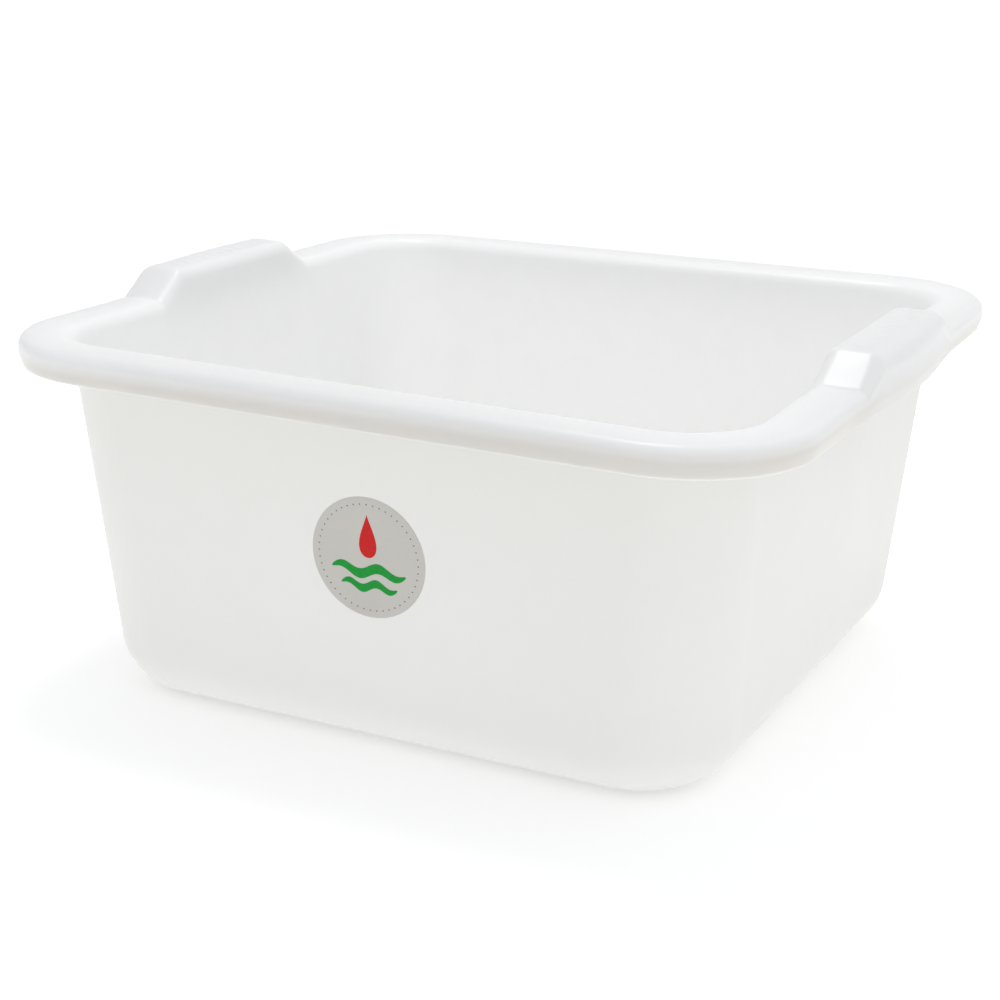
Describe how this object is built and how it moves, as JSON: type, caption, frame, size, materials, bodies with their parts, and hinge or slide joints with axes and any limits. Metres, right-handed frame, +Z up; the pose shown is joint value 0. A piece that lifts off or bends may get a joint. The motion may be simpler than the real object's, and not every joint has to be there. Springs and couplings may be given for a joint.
{
  "type": "wash basin",
  "caption": "Square plastic wash basin with tapered walls, rounded corners, a rolled rim with a skirt, raised hand grips on opposite sides, and a round sticker on one wall.",
  "frame": {"origin": "centre of the underside of the base, on the plane that the basin stands on", "axes": "+Z up, out of the open top; +X towards one of the raised grips; -Y out of the wall that carries the sticker"},
  "size_m": [0.3696, 0.349, 0.1749],
  "materials": {
    "basin_shell": "milky, slightly translucent polypropylene, satin walls and a glossier rim",
    "round_label": "silver-grey printed film sticker, satin"
  },
  "bodies": {
    "root": {"basin_shell": "basin_shell", "round_label": "round_label"}
  },
  "joints": []
}
